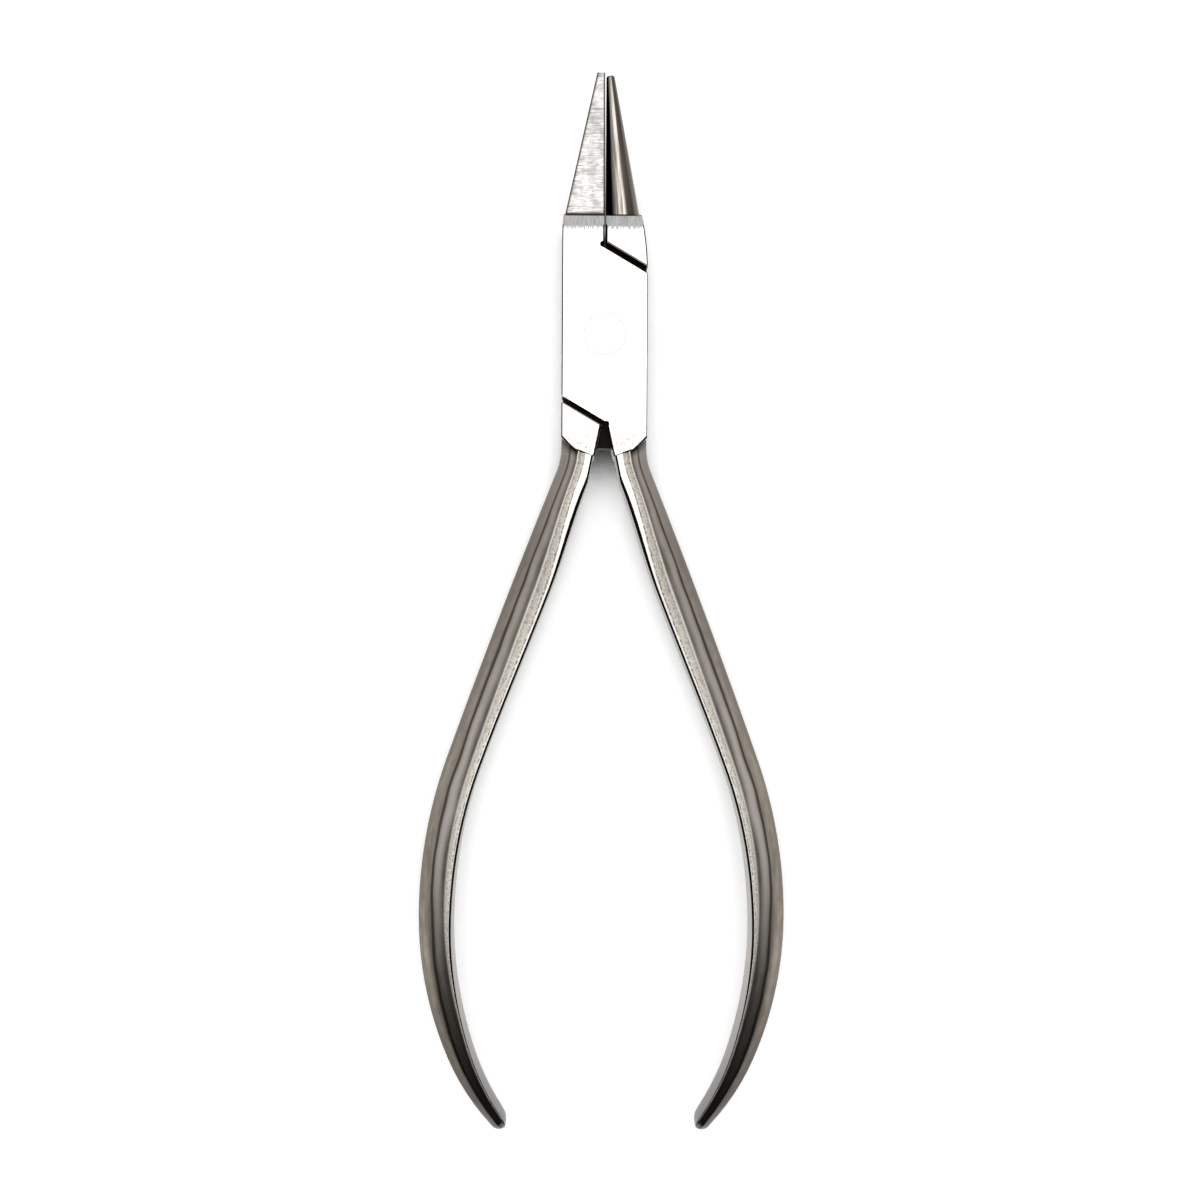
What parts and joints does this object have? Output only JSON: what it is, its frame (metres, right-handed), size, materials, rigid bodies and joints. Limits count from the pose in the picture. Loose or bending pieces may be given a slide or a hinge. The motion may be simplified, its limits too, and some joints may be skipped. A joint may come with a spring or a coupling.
{
  "type": "orthodontic pliers",
  "caption": "Wire-bending dental pliers with a flat beak beside a conical beak, a box joint with a flush rivet, and curved fluted handles, closed and lying flat.",
  "frame": {"origin": "on the pivot's axis at the back face of the joint, which is the face the closed pliers rest on", "axes": "+Y along the pliers towards the beak tips, +Z along the pivot out of the front face, +X towards the handle of the outer half"},
  "size_m": [0.0448, 0.13, 0.008],
  "materials": {
    "outer_steel": "satin stainless steel",
    "inner_steel": "satin stainless steel",
    "pin_steel": "ground stainless steel"
  },
  "bodies": {
    "outer_half": {"outer_half": "outer_steel", "pivot_pin": "pin_steel"},
    "inner_half": {"inner_half": "inner_steel"}
  },
  "joints": [
    {"name": "jaw_pivot", "type": "hinge", "parent": "outer_half", "child": "inner_half", "pos_m": [0, 0, 0.004], "axis": [0, 0, -1], "range_deg": [0, 30]}
  ]
}
